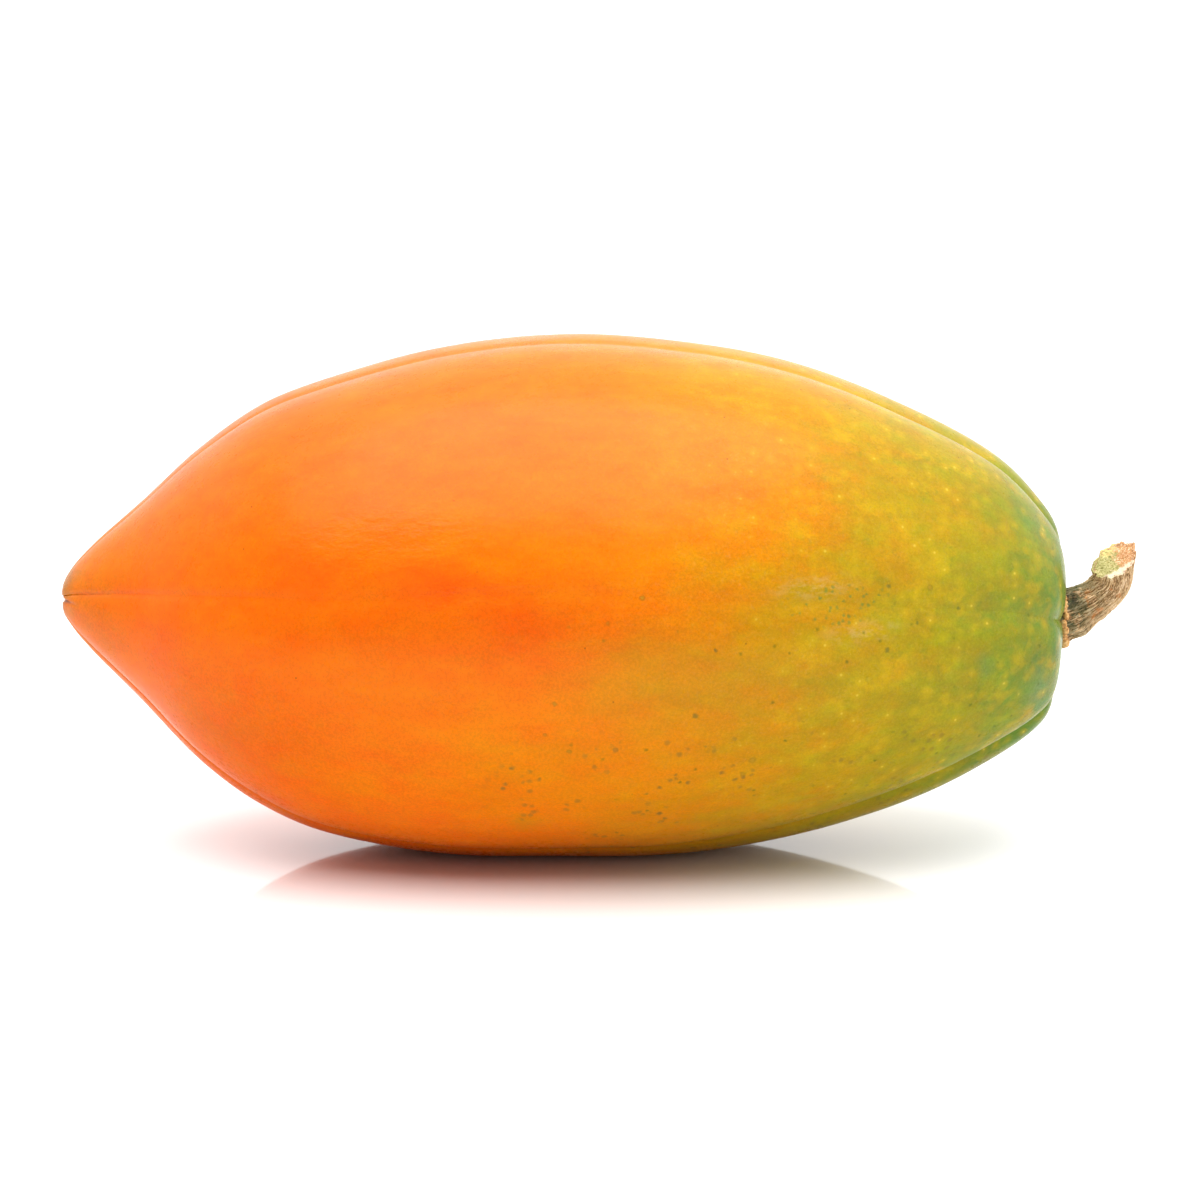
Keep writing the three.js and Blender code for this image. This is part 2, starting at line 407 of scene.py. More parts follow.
def through(points, share):
    """The point at a share of the way along the centripetal Catmull-Rom curve through some points."""
    spans = len(points) - 1
    span = min(int(share * spans), spans - 1)
    start, end = points[span], points[span + 1]
    before = points[span - 1] if span else 2 * start - end
    after = points[span + 2] if span + 2 <= spans else 2 * end - start
    gaps = [(b - a).length_squared ** 0.25 for a, b in ((before, start), (start, end), (end, after))]
    first, middle, last = (gap or gaps[1] for gap in gaps)
    leaving = (start - before) / first - (end - before) / (first + middle) + (end - start) / middle
    arriving = (end - start) / middle - (after - start) / (middle + last) + (after - end) / last
    s = share * spans - span
    return (
        (2 * s**3 - 3 * s**2 + 1) * start
        + (s**3 - 2 * s**2 + s) * middle * leaving
        + (3 * s**2 - 2 * s**3) * end
        + (s**3 - s**2) * middle * arriving
    )


def section_point(share):
    """Distance along the axis, distance out from it, groove depth and rise, all in metres."""
    length, radius = FRUIT_LENGTH / MM, FRUIT_RADIUS / MM
    rows = [[Vector((x * length, r * radius, row[k])) for x, r, *row in SECTION] for k in (0, 1)]
    deep, high = (through(points, share) for points in rows)
    return deep.x * MM, max(deep.y, 0.0) * MM, deep.z * MM, high.z * MM


def even_shares(count, end_crowding=0.6, steps=1500):
    """Shares of the section's curve whose points lie evenly along the outline, but crowd towards its ends."""
    shares = [i / steps for i in range(steps + 1)]
    points = [section_point(share)[:2] for share in shares]
    lengths = [0.0]
    for a, b in zip(points, points[1:]):
        lengths.append(lengths[-1] + math.dist(a, b))
    chosen = []
    at = 0
    for i in range(count):
        even = i / (count - 1)
        crowded = 0.5 - 0.5 * math.cos(math.pi * even)
        goal = lengths[-1] * (even + end_crowding * (crowded - even))
        while at < steps - 1 and lengths[at + 1] < goal:
            at += 1
        part = (goal - lengths[at]) / (lengths[at + 1] - lengths[at])
        chosen.append(min(1.0, (at + part) / steps))
    return chosen


def section_table(count):
    """The section as a mesh that carries each row's numbers."""
    shares = even_shares(count)
    rows = [section_point(share) for share in shares]
    outwards = []
    for i in range(count):
        (x0, r0, *_), (x1, r1, *_) = rows[max(i - 1, 0)], rows[min(i + 1, count - 1)]
        steep = math.hypot(x1 - x0, r1 - r0)
        outwards.append(((r0 - r1) / steep, 0.0, (x1 - x0) / steep))
    points = [(x, 0.0, r) for x, r, _, _ in rows]
    return table_mesh(
        "section",
        points,
        [(i, i + 1) for i in range(count - 1)],
        spot=points,
        outwards=outwards,
        depth=[row[2] for row in rows],
        rise=[row[3] for row in rows],
        share=[float(share) for share in shares],
    )


# %% Grooves
# Angles in degrees from straight up towards the viewer: where a groove starts at the blossom end, how far it
# sways aside at mid length, how far it drifts to the stalk end, and its share of the depth at both ends.
GROOVES = [
    (4, -6, 7, 1.0, 1.0),
    (73, 0, 10, 0.75, 0.35),
    (146, 12, -6, 0.9, 0.95),
    (217, 0, 2, 0.9, 0.8),
    (289, 0, -3, 1.0, 0.9),
]
LOBES = len(GROOVES)


def groove_table():
    """The five grooves, and the first two once more a full turn on, as a mesh that carries their numbers."""
    swings = []
    shares = []
    for k in range(LOBES + 2):
        angle, sway, twist, tip, stalk = GROOVES[k % LOBES]
        swings.append(((angle + 360 * (k // LOBES)) * DEGREE, sway * DEGREE, twist * DEGREE))
        shares.append((tip, stalk, 0.0))
    return table_mesh("grooves", [(k, 0, 0) for k in range(LOBES + 2)], swing=swings, shares=shares)


print("section has", len(SECTION), "rows and", LOBES, "grooves")

# %% [markdown]
# ## The skin, turned and lobed
# The skin could be sculpted, or lofted through rings by hand. Its shape follows a rule, though: the section
# turned once round the axis, and drawn in along five grooves. So Geometry Nodes make it from a flat grid,
# whose X becomes the way round and whose Y becomes the way along. Each grid point looks up its row of the
# section and the two grooves beside it. The tree also stores how deep in a groove each point lies, for the
# material.

# %% Skin tree
RIM_LEAN = 1.5 * MM  # how far the rim round the stalk lies back at its lowest point
SWELLS = [(0.45, 9, 1.3, 2, 0.8), (0.22, 17, 0.4, 5, 2.1)]  # height in mm, waves along, from, round, turned


def lobe_depth(side, share, wires):
    """How deep a point lies under its lobe's ridge, 1 in a groove of full depth, with its crease and seam."""
    reach = side.size()
    widths = (wires["Crease width"], wires["Seam width"])
    crease, seam = ((((1 - reach) / width) ** 2 * -1).exp() for width in widths)
    depth = share * ((1 - wires["Crease share"]) * reach**3 + wires["Crease share"] * crease)
    return depth, crease * share, seam * share


def tip_split(across, share, wires):
    """1 in the short split over the blossom end, where the flower was, and 0 beside it."""
    return ((across / wires["Split width"]) ** 2 * -1).exp() * share.ramp(0.15, 0.07)


def rim_lean(angle, share):
    """How far the rim round the stalk lies back. It leans back most on the underside."""
    near_rim = share.ramp(0.79, 0.87)
    off_axis = share.ramp(0.93, 1.0, 1.0, 0.0)
    return (0.5 - off_axis * angle.cosine() * 0.5) * near_rim * RIM_LEAN


def skin_tree():
    sizes = {
        "Rows": 300,
        "Columns": 301,
        "Crease share": 0.35,
        "Crease width": 0.16,
        "Seam width": 0.045,
        "Seam depth": 0.3 * MM,
        "Split width": 0.4 * MM,
        "Split depth": 0.8 * MM,
        "Dent height": 0.35 * MM,
        "Dent size": 24 * MM,
        "Wrinkle height": 0.1 * MM,
        "Wrinkle size": 5 * MM,
        "Seam distance": 0.0005 * MM,
    }
    tree, wires = geometry_tree("lobed skin", sizes, [("Grooves", "NodeSocketObject")])
    section = wires["Geometry"]
    grooves = put(tree, "GeometryNodeObjectInfo", {"Object": wires["Grooves"]}, "Geometry")
    counts = {"Size X": 1.0, "Size Y": 1.0, "Vertices X": wires["Columns"], "Vertices Y": wires["Rows"]}
    grid = put(tree, "GeometryNodeMeshGrid", counts, "Mesh")
    x, y, _ = split(put(tree, "GeometryNodeInputPosition"))
    around = (x + 0.5) * LOBES
    row = ((y + 0.5) * (wires["Rows"] - 1)).round()

    lobe = (around + 0.0001).floor()
    across = 0.5 - ((around - lobe).most(0.0) * math.pi).cosine() * 0.5  # closer together in the grooves
    share = sample(section, "share", row)
    swings = [split(sample(grooves, "swing", lobe + k, "FLOAT_VECTOR")) for k in (0, 1)]
    edges = [start + sway * (share * math.pi).sine() + twist * share for start, sway, twist in swings]
    angle = lerp(*edges, across)

    strengths = [split(sample(grooves, "shares", lobe + k, "FLOAT_VECTOR")) for k in (0, 1)]
    strength = lerp(*(lerp(tip, stalk, share) for tip, stalk, _ in strengths), across)
    depth, crease, seam = lobe_depth(across * 2 - 1, strength, wires)
    relief = sample(section, "depth", row) * depth * -1 - seam * wires["Seam depth"]
    fade = (share * math.pi).sine() * MM
    for height, along, start, round_, turned in SWELLS:
        relief = relief + fade * height * (share * along + start).sine() * (angle * round_ + turned).sine()

    spot_x, _, spot_r = split(sample(section, "spot", row, "FLOAT_VECTOR"))
    out_x, _, out_r = split(sample(section, "outwards", row, "FLOAT_VECTOR"))
    radius = spot_r + out_r * relief
    upward = radius * angle.cosine()
    parted = tip_split(upward, share, wires)
    place = join(
        tree,
        spot_x + out_x * relief - rim_lean(angle, share) + parted * wires["Split depth"],
        radius * angle.sine() * -1,
        upward + sample(section, "rise", row),
    )
    marked = store(store(grid, "crease", crease), "split", parted)
    turned_skin = put(tree, "GeometryNodeSetPosition", {"Geometry": marked, "Position": place})
    closing = {"Geometry": turned_skin, "Distance": wires["Seam distance"]}
    closed = put(tree, "GeometryNodeMergeByDistance", closing)

    point = put(tree, "GeometryNodeInputPosition")
    fine = stretched(point, (0.6, 1, 1))
    dents = noise(point, wires["Dent size"], 1.0)
    wrinkles = noise(fine, wires["Wrinkle size"], 2.0)
    lift = (dents - 0.5) * wires["Dent height"] + (wrinkles - 0.5) * wires["Wrinkle height"]
    normal = put(tree, "GeometryNodeInputNormal")
    offset = vector_math("SCALE", normal, Scale=lift)
    worn = put(tree, "GeometryNodeSetPosition", {"Geometry": closed, "Offset": offset})
    finish_tree(tree, worn, wires)
    return tree


# %% [markdown]
# ## The colours of a ripening skin
# A papaya turns from green to orange as it ripens, first at the blossom end and last round the stalk. So
# one number, the greenness, rises along the fruit, is pushed about by soft noise, and picks the colour. It
# could be painted by hand instead, but a formula covers the unseen back as well. Some patches of this fruit
# are at a place of their own, such as the red flush along its front groove and the blue bloom near the
# stalk, which is partly a painted highlight along the rim. Two of them are painted shade: a darker blossom
# tip and a darker lower left of the belly. They are soft balls in space: what they touch of the skin takes
# their colour.

# %% Patches
PIGMENT_SHARE = 0.78
# middle of each patch and its reach along, across and up in millimetres, then how much greener it is
RIPENESS_PATCHES = [
    ((38, -43, 84), (26, 26, 14), -0.07),
    ((56, -48, 64), (24, 12, 7), 0.02),
    ((12, -56, 46), (24, 20, 18), 0.05),
    ((33, -48, 55), (20, 20, 14), 0.06),
    ((22, -22, 104), (26, 30, 14), 0.05),
    ((-21, -54, 42), (6, 6, 5), 0.1),
    ((-13, -40, 15), (7, 8, 4), 0.12),
    ((-35, -50, 33), (8, 8, 4), 0.08),
    ((64, -20, 90), (30, 20, 14), 0.04),
    ((90, -20, 76), (14, 14, 12), 0.04),
]
# the same, then a colour and its share
COLOUR_AND_PAINTED_LIGHT_PATCHES = [
    ((-20, -30, 94), (100, 44, 30), (255, 102, 4), 0.4),
    ((-20, -55, 60), (95, 34, 15), (232, 93, 2), 0.6),
    ((-5, -50, 28), (70, 40, 22), (234, 148, 4), 0.55),
    ((-29, -52, 69), (22, 14, 7), (250, 76, 6), 0.55),
    ((-14, -55, 61), (16, 14, 5), (240, 87, 4), 0.4),
    ((-57, -45, 70), (18, 16, 9), (252, 87, 12), 0.4),
    # painted shade: darker, with no blue, at the lower left of the belly
    ((-72, -32, 32), (44, 34, 22), (226, 106, 0), 0.5),
    # painted shade: a darker blossom tip
    ((-100, -12, 52), (14, 14, 14), (222, 112, 4), 0.5),
    ((64, -25, 86), (42, 30, 24), (190, 148, 14), 0.5),
    ((22, -56, 52), (38, 20, 16), (210, 144, 8), 0.55),
    ((-75, -28, 81), (14, 14, 12), (255, 115, 36), 0.45),
    ((-89, -28, 52), (14, 12, 13), (250, 92, 10), 0.35),
    ((94, -18, 75), (9, 10, 7), (112, 148, 66), 0.4),
    ((97, -22, 58), (9, 12, 12), (120, 150, 46), 0.4),
    ((84, -34, 47), (4, 6, 4), (100, 140, 72), 0.5),
    # partly the blue bloom near the stalk and partly a painted highlight along the rim
    ((97, -22, 39), (8, 10, 10), (130, 148, 106), 0.5),
    ((97, 20, 60), (9, 20, 20), (100, 142, 76), 0.5),
]


def shaken(place, size, amount):
    """The place moved about by soft noise, which gives round patches ragged edges."""
    inputs = {"Vector": place, "Scale": 1 / size, "Detail": 3.0}
    cloud = put(place.tree, "ShaderNodeTexNoise", inputs, "Color")
    centred = vector_math("SUBTRACT", cloud, (0.5, 0.5, 0.5))
    return vector_math("ADD", place, vector_math("SCALE", centred, Scale=amount))


def nearness(place, middle, reach):
    """1 in the middle of a patch, and 0 beyond its reach."""
    middle, reach = ([value * MM for value in row] for row in (middle, reach))
    away = vector_math("DIVIDE", vector_math("SUBTRACT", place, middle), reach)
    return vector_math("LENGTH", away, output="Value").ramp(1.0, 0.0)


# %% [markdown]
# ## The skin's colour
# Greenness picks the colour from a row of stops, from the ochre blossom end over orange and amber to green.
# Over it lie clouds of three sizes. Large ones make the skin redder or yellower, small ones speckle it
# yellow and olive where it is still green, and each channel of a last, fine noise shifts on its own, as
# dust and flesh do.

# %% Skin colour
# greenness, and the colour of the skin there
SKIN_STOPS = [
    (0.0, (200, 119, 22)),
    (0.035, (240, 122, 14)),
    (0.09, (255, 115, 8)),
    (0.22, (255, 115, 4)),
    (0.3, (255, 121, 4)),
    (0.48, (255, 128, 4)),
    (0.57, (244, 134, 4)),
    (0.64, (226, 142, 6)),
    (0.71, (208, 147, 10)),
    (0.79, (193, 156, 16)),
    (0.87, (174, 154, 22)),
    (0.93, (155, 151, 32)),
    (0.98, (126, 143, 42)),
    (1.0, (106, 136, 46)),
]


def pigment(red, green, blue):
    """A colour of the skin as it looks on the table, corrected for the light of the white room."""
    return (*(PIGMENT_SHARE * value for value in srgb(red, green, blue)[:3]), 1.0)


def ripe_colour(place, along, up, blotches):
    """The skin's colour without its spots; patches lie over greenness, some painted shade and highlight."""
    crease = stored(place.tree, "crease")
    loose = shaken(place, 10 * MM, 8 * MM)
    clouds = noise(place, 60 * MM, 2.0, 0.5)
    mottle = noise(stretched(place, (0.6, 1, 1)), 4 * MM, 4.0, 0.65)
    green = along - up * 0.04 + (clouds - 0.5) * 0.12 + (blotches - 0.5) * 0.12
    green = green + crease * along * 0.03 + (mottle - 0.5) * along.ramp(0.5, 0.85, 0.03, 0.16)
    for middle, reach, shift in RIPENESS_PATCHES:
        green = green + nearness(loose, middle, reach) * shift
    colour = colours(green, *((at, pigment(*tint)) for at, tint in SKIN_STOPS))
    # some of these patches are painted shade, and one is partly a painted highlight
    for middle, reach, tint, share in COLOUR_AND_PAINTED_LIGHT_PATCHES:
        colour = mixed(nearness(loose, middle, reach) * share, colour, pigment(*tint))
    return colour


def clouded(place, along, colour):
    """Soft clouds over the skin: salmon in its ripe part, yellow and olive where it is still green."""
    flush = noise(place, 24 * MM, 3.0, 0.6).ramp(0.5, 0.66) * along.ramp(0.66, 0.4)
    colour = mixed(flush * 0.3, colour, pigment(255, 112, 16))
    yellow = noise(stretched(place, (0.7, 1, 1)), 7 * MM, 3.0, 0.6).ramp(0.52, 0.7) * along.ramp(0.5, 0.8)
    colour = mixed(yellow * 0.35, colour, pigment(222, 178, 16))
    olive = noise(place, 3 * MM, 4.0, 0.7).ramp(0.55, 0.7) * along.ramp(0.6, 0.9)
    return mixed(olive * 0.4, colour, pigment(122, 134, 30))


def grained(place, along, colour):
    """Streaks along the fruit and fine grain, in which red, green and blue vary each on their own."""
    streaks = put(
        place.tree,
        "ShaderNodeTexNoise",
        {"Vector": stretched(place, (0.4, 1, 1)), "Scale": 1 / (5 * MM), "Detail": 5.0, "Roughness": 0.65},
        "Color",
    )
    colour = mixed(0.34, colour, streaks, "OVERLAY")
    grain = noise(place, 0.55 * MM, 2.0, 0.8)
    tone = grain.ramp(0.3, 0.7, 0.88, 1.08)
    colour = mixed(1.0, colour, join(place.tree, tone, tone, tone), "MULTIPLY")
    dust = noise(place, 0.7 * MM, 3.0, 0.8).ramp(0.5, 0.75) * along.ramp(0.4, 0.7, 0.008, 0.06)
    return mixed(dust, colour, pigment(255, 226, 180))


# %% [markdown]
# ## Spots
# Pale pores show in the yellow and green part, and grey scars sit in small groups near the belly. Each kind
# is a field of points scattered in space, drawn only where its own random number and its place allow it.
# The large marks of this side are placed one by one: each point takes the nearest of them, measured in that
# mark's radius, and some are rings with a light middle. Wax that was rubbed thin lies in pale streaks along
# the front groove.

# %% Spots
# middle and radius in millimetres
RING_MARKS = [
    ((12, -54, 66), 0.7),
    ((5, -56, 61), 0.6),
    ((-6, -55, 44), 0.65),
    ((72, -39, 65), 0.75),
    ((-3, -52, 33), 0.6),
    ((35, -47, 30), 0.9),
    ((33, -45, 27), 0.9),
    ((-8, -53, 37), 0.6),
]
DOT_MARKS = [
    ((27, -54, 55), 0.6),
    ((63, -45, 53), 0.85),
    ((63, -42, 66), 0.9),
    ((69, -41, 58), 0.6),
    ((78, -36, 60), 0.6),
    ((88, -30, 60), 0.6),
    ((98, -23, 56), 0.6),
    ((25, -50, 34), 0.65),
    ((23, -53, 41), 0.8),
    ((17, -39, 16), 0.8),
]
# middle and reach of the groups of scars, of the green freckles and of the streaks of wax
SCAR_GROUPS = [
    ((-15, -48, 26), (4, 8, 5)),
    ((18, -48, 26), (6, 8, 4)),
    ((33, -46, 27), (7, 8, 3.5)),
    ((17, -39, 16), (4, 6, 3)),
]
FRECKLE_GROUPS = [((53, -47, 63), (17, 14, 6))]
WAX_STREAKS = [
    ((48, -48, 67), (14, 12, 4)),
    ((58, -46, 57), (13, 12, 3.5)),
]


def dots(place, spacing, radius, share, soft=0.4):
    """Round dots of about that radius in metres, at that share of the points of a scattered field."""
    near, chance = cells(place, spacing)
    edge = radius / spacing
    return near.ramp(edge * (1 + soft), edge * (1 - soft)) * chance.ramp(share, share - 0.02)


def nearest_mark(place, marks):
    """How far the nearest of some marks is, as a share of that mark's radius."""
    nearest = 9.0
    for middle, radius in marks:
        middle = [value * MM for value in middle]
        away = vector_math("DISTANCE", place, middle, output="Value")
        nearest = (away / (radius * MM)).least(nearest)
    return nearest


def in_any(place, groups):
    """1 in the middle of any of some groups, and 0 outside them all."""
    total = 0.0
    for middle, reach in groups:
        total = nearness(place, middle, reach).most(total)
    return total


def pored(place, along, colour):
    """Pale pores with a yellow ring round them."""
    unripe = along.ramp(0.55, 0.8)
    halo = dots(place, 3.1 * MM, 1.0 * MM, 0.55, 0.9) * unripe
    colour = mixed(halo * 0.3, colour, pigment(228, 186, 22))
    pores = dots(place, 3.1 * MM, 0.24 * MM, 0.55, 0.9) * unripe
    return mixed(pores * 0.6, colour, pigment(250, 220, 84))


def scarred(place, along, up, colour):
    """Grey scars in groups, green freckles, dark marks and small specks."""
    ragged = shaken(place, 0.8 * MM, 0.7 * MM)
    groups = in_any(place, SCAR_GROUPS).ramp(0.05, 0.3)
    loose = noise(place, 10 * MM, 1.0).ramp(0.53, 0.6) * up.ramp(-0.2, -0.4) * along.ramp(0.4, 0.48) * 0.6
    scars = dots(ragged, 1.9 * MM, 0.62 * MM, 0.55, 0.5) * groups.most(loose)
    colour = mixed(scars * 0.85, colour, pigment(132, 108, 44))
    freckles = dots(ragged, 1.3 * MM, 0.36 * MM, 0.6, 0.6) * in_any(place, FRECKLE_GROUPS).ramp(0.0, 0.4)
    colour = mixed(freckles * 0.7, colour, pigment(110, 134, 50))
    belly = up.ramp(0.35, -0.1) * along.ramp(0.36, 0.62)
    green_dots = dots(ragged, 3.2 * MM, 0.36 * MM, 0.3, 0.7) * belly
    colour = mixed(green_dots * 0.7, colour, pigment(92, 104, 20))
    rings = nearest_mark(ragged, RING_MARKS)
    colour = mixed(rings.ramp(1.25, 0.55) * 0.4, colour, pigment(112, 96, 22))
    colour = mixed(rings.ramp(0.7, 0.3) * 0.45, colour, pigment(204, 160, 50))
    marks = nearest_mark(ragged, DOT_MARKS).ramp(1.05, 0.4)
    colour = mixed(marks * 0.6, colour, pigment(80, 100, 44))
    specks = dots(place, 5.5 * MM, 0.2 * MM, 0.5, 0.5)
    return mixed(specks * 0.7, colour, pigment(120, 66, 8))


def waxed(place, colour):
    """Pale streaks of wax, drawn out along the fruit."""
    streaks = noise(stretched(place, (0.28, 1, 1)), 1.6 * MM, 4.0, 0.7).ramp(0.42, 0.62)
    return mixed(streaks * in_any(place, WAX_STREAKS) * 0.4, colour, pigment(222, 184, 122))


# %% [markdown]
# ## The skin's material
# The skin is waxy: fairly smooth, with a little light that enters the flesh and comes out redder. Its
# relief is noise drawn out along the fruit, stronger where the ripest skin has begun to wrinkle beside the
# front groove.

# %% Skin material
WRINKLED = [((-44, -47, 76), (34, 14, 12)), ((-20, -54, 66), (30, 12, 7))]
SKIN_ROUGHNESS = 0.3
BELLY_GLOSS, TOP_GLOSS = 0.03, 0.13
FLESH_SHARE = 0.1  # of the light enters the flesh and comes out redder
FLESH_DEPTH = 3 * MM
SKIN_RELIEF = 0.16 * MM


def skin_material():
    material, tree, shader, place = new_material("papaya skin")
    x, _, z = split(place)
    low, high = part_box("fruit")
    along = (x - low.x) / (high.x - low.x)
    up = (z - (low.z + high.z) / 2) / FRUIT_RADIUS
    blotches = noise(place, 13 * MM, 4.0, 0.6)
    colour = grained(place, along, clouded(place, along, ripe_colour(place, along, up, blotches)))
    colour = scarred(place, along, up, waxed(place, pored(place, along, colour)))
    opening = stored(tree, "split")
    colour = mixed(opening * 0.6, colour, pigment(120, 54, 20))
    plug(tree, colour, shader.inputs["Base Color"])

    grain = noise(place, 1.3 * MM, 3.0, 0.65)
    rough = SKIN_ROUGHNESS + (grain - 0.5) * 0.25 + (blotches - 0.5) * 0.2
    plug(tree, rough, shader.inputs["Roughness"])
    plug(tree, up.ramp(-0.7, 0.3, BELLY_GLOSS, TOP_GLOSS), shader.inputs["Specular IOR Level"])
    shader.inputs["Subsurface Weight"].default_value = FLESH_SHARE
    shader.inputs["Subsurface Radius"].default_value = (1.0, 0.35, 0.1)
    shader.inputs["Subsurface Scale"].default_value = FLESH_DEPTH
    wrinkles = noise(stretched(place, (0.4, 1, 1)), 2.4 * MM, 4.0, 0.6)
    strength = in_any(place, WRINKLED).ramp(0.0, 0.6, 0.4, 1.6)
    bumped(tree, shader, wrinkles * strength, SKIN_RELIEF)
    return material


# %% Make the skin
def lay_down(piece):
    """Moves a skin turned about the X axis onto its solid, pressed flat below. Gives the axis height."""
    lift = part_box("fruit")[1].z - max(corner.co.z for corner in piece.data.vertices)
    for corner in piece.data.vertices:
        corner.co.x -= BALANCE * FRUIT_LENGTH
        corner.co.z = max(corner.co.z + lift, 0.0)
    return lift


BALANCE = 0.521  # the fruit balances at this share of its length, over the origin

groove_numbers = link_piece("groove_numbers", groove_table())
skin = run_tree("papaya_skin", skin_tree(), section_table(300), skin_material(), Grooves=groove_numbers)
bpy.data.objects.remove(groove_numbers)
AXIS_HEIGHT = lay_down(skin)
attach(skin, "root")
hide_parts("fruit")
print("skin has", len(skin.data.polygons), "faces, axis at", round(AXIS_HEIGHT / MM, 2), "mm")

# %% [markdown]
# ## The stalk
# The fruit was cut from the tree with a finger's breadth of stalk left on. It is woody, bends up from its
# foot, and its bark has shrunk into furrows that run along it. A tube along a curved line gives that, and
# the bark is relief on the tube: a few broad ridges, and many furrows from noise that is drawn out along
# the stalk. The table below gives the line, measured from the middle of the basin that the stalk grows
# from.

# %% Stalk line
STALK_RADIUS = 3.7 * MM
# ahead, aside and up from the basin in millimetres, and how thick the stalk is there
STALK_LINE = [
    (-2.4, 0.0, -0.6, 1.4),
    (1.2, 0.0, 0.2, 1.55),
    (5.8, -0.3, 2.4, 1.33),
    (10.05, -0.8, 5.3, 1.14),
    (12.6, -1.5, 8.3, 1.13),
    (13.1, -2.6, 12.3, 1.17),
    (13.4, -4.0, 16.6, 1.2),
]
basin_share, _, _, basin_rise = SECTION[-1]
BASIN = Vector(((basin_share - BALANCE) * FRUIT_LENGTH, 0, AXIS_HEIGHT + basin_rise * MM))


def stalk_table(count):
    """The stalk's line as a mesh that carries its directions and its thickness."""
    shares = [i / (count - 1) for i in range(count)]
    line = [Vector(row[:3]) * MM for row in STALK_LINE]
    thickness = [Vector((i, row[3], 0)) for i, row in enumerate(STALK_LINE)]
    centres = [through(line, share) for share in shares]
    front = Vector((0, -1, 0))
    fronts = []
    unders = []
    for i in range(count):
        ahead = (centres[min(i + 1, count - 1)] - centres[max(i - 1, 0)]).normalized()
        front = (front - ahead * front.dot(ahead)).normalized()
        fronts.append(front.copy())
        unders.append(ahead.cross(front))
    return table_mesh(
        "stalk_line",
        centres,
        [(i, i + 1) for i in range(count - 1)],
        centre=centres,
        front=fronts,
        under=unders,
        radius=[through(thickness, share).y * STALK_RADIUS for share in shares],
        share=shares,
    )


# %% Stalk tree
RIDGES = [(11, 0.045, 9), (7, 0.035, 12), (4, 0.025, 3)]  # how many, share of the radius, how far they wind
# which way each lump of the bark faces, its share of the way along, its reach along, and its height
LUMPS = [
    ((-0.95, 0.3, 0.1), 0.79, 0.05, 0.6 * MM),
    ((0.3, -0.5, -0.8), 0.3, 0.05, 0.5 * MM),
    ((-0.3, -0.6, 0.7), 0.24, 0.06, 0.35 * MM),
]


def stalk_tree():
    sizes = {
        "Rows": 220,
        "Columns": 289,
        "Furrows round": 10.0,
        "Furrows along": 5.5,
        "Furrow depth": 0.36 * MM,
        "Knot height": 0.6 * MM,
        "Knot size": 4.5 * MM,
        "Seam distance": 0.0005 * MM,
    }
    tree, wires = geometry_tree("barked stalk", sizes)
    line = wires["Geometry"]
    counts = {"Size X": 1.0, "Size Y": 1.0, "Vertices X": wires["Columns"], "Vertices Y": wires["Rows"]}
    grid = put(tree, "GeometryNodeMeshGrid", counts, "Mesh")
    x, y, _ = split(put(tree, "GeometryNodeInputPosition"))
    row = ((y + 0.5) * (wires["Rows"] - 1)).round()
    angle = (x + 0.5) * (2 * math.pi)
    share = sample(line, "share", row)

    ridges = 0.0
    for count, height, wind in RIDGES:
        ridges = (angle * count + share * wind).cosine() * height + ridges
    winding = angle + share * 0.6
    reach = wires["Furrows round"]
    spread = join(tree, winding.cosine() * reach, winding.sine() * reach, share * wires["Furrows along"])
    bark = noise(spread, 1.0, 3.0, 0.6, 0.4)
    furrow = ((bark - 0.5).size() * 8).least(1.0)
    knots = noise(join(tree, winding.cosine(), winding.sine(), share * 5), 0.9, 2.0)
    radius = sample(line, "radius", row) * (ridges + 1)
    radius = radius + (furrow - 1) * wires["Furrow depth"] + (knots - 0.5) * wires["Knot height"]

    under, front = (sample(line, label, row, "FLOAT_VECTOR") for label in ("under", "front"))
    down = vector_math("SCALE", under, Scale=angle.cosine())
    ahead = vector_math("SCALE", front, Scale=angle.sine())
    outwards = vector_math("ADD", down, ahead)
    for way, middle, reach, height in LUMPS:
        facing = vector_math("DOT_PRODUCT", outwards, way, output="Value")
        beside = (((share - middle) / reach) ** 2 * -1).exp()
        radius = radius + facing.ramp(0.5, 1.0) * beside * height
    step = vector_math("SCALE", outwards, Scale=radius)
    centre = sample(line, "centre", row, "FLOAT_VECTOR")
    place = vector_math("ADD", centre, step)
    # the furrow's depth, which the bark's colour also uses as painted shade
    marked = store(store(grid, "furrow", (furrow * 1.6).least(1.0)), "along", share)
    marked = store(marked, "bark_place", spread, "FLOAT_VECTOR")
    tube = put(tree, "GeometryNodeSetPosition", {"Geometry": marked, "Position": place})
    closing = {"Geometry": tube, "Distance": wires["Seam distance"]}
    finish_tree(tree, put(tree, "GeometryNodeMergeByDistance", closing), wires)
    return tree


# %% [markdown]
# ## The knife cut
# The stalk's tip is an oblique cut: pale green pith on the left, brown fibres on the right, and a rim of
# dried bark. The tube is longer than the stalk, so a plane cuts it to length. The hole that this leaves is
# closed with rings of points that step inwards and dip by a little noise, because dried pith shrinks.

# %% Knife cut
CUT_PLACE = Vector((12.9, -2.7, 13.5)) * MM  # from the basin
CUT_NORMAL = Vector((-0.36, -0.6, 0.72)).normalized()
CUT_RINGS = 16


def open_ends(body):
    """The points round each open end of a mesh, in order."""
    edges = dict.fromkeys(edge for edge in body.edges if edge.is_boundary)  # in the same order each run
    ends = []
    while edges:
        first, _ = edges.popitem()
        end = list(first.verts)
        while following := next((edge for edge in end[-1].link_edges if edge in edges), None):
            del edges[following]
            end.append(following.other_vert(end[-1]))
        ends.append(end[:-1])
    return ends


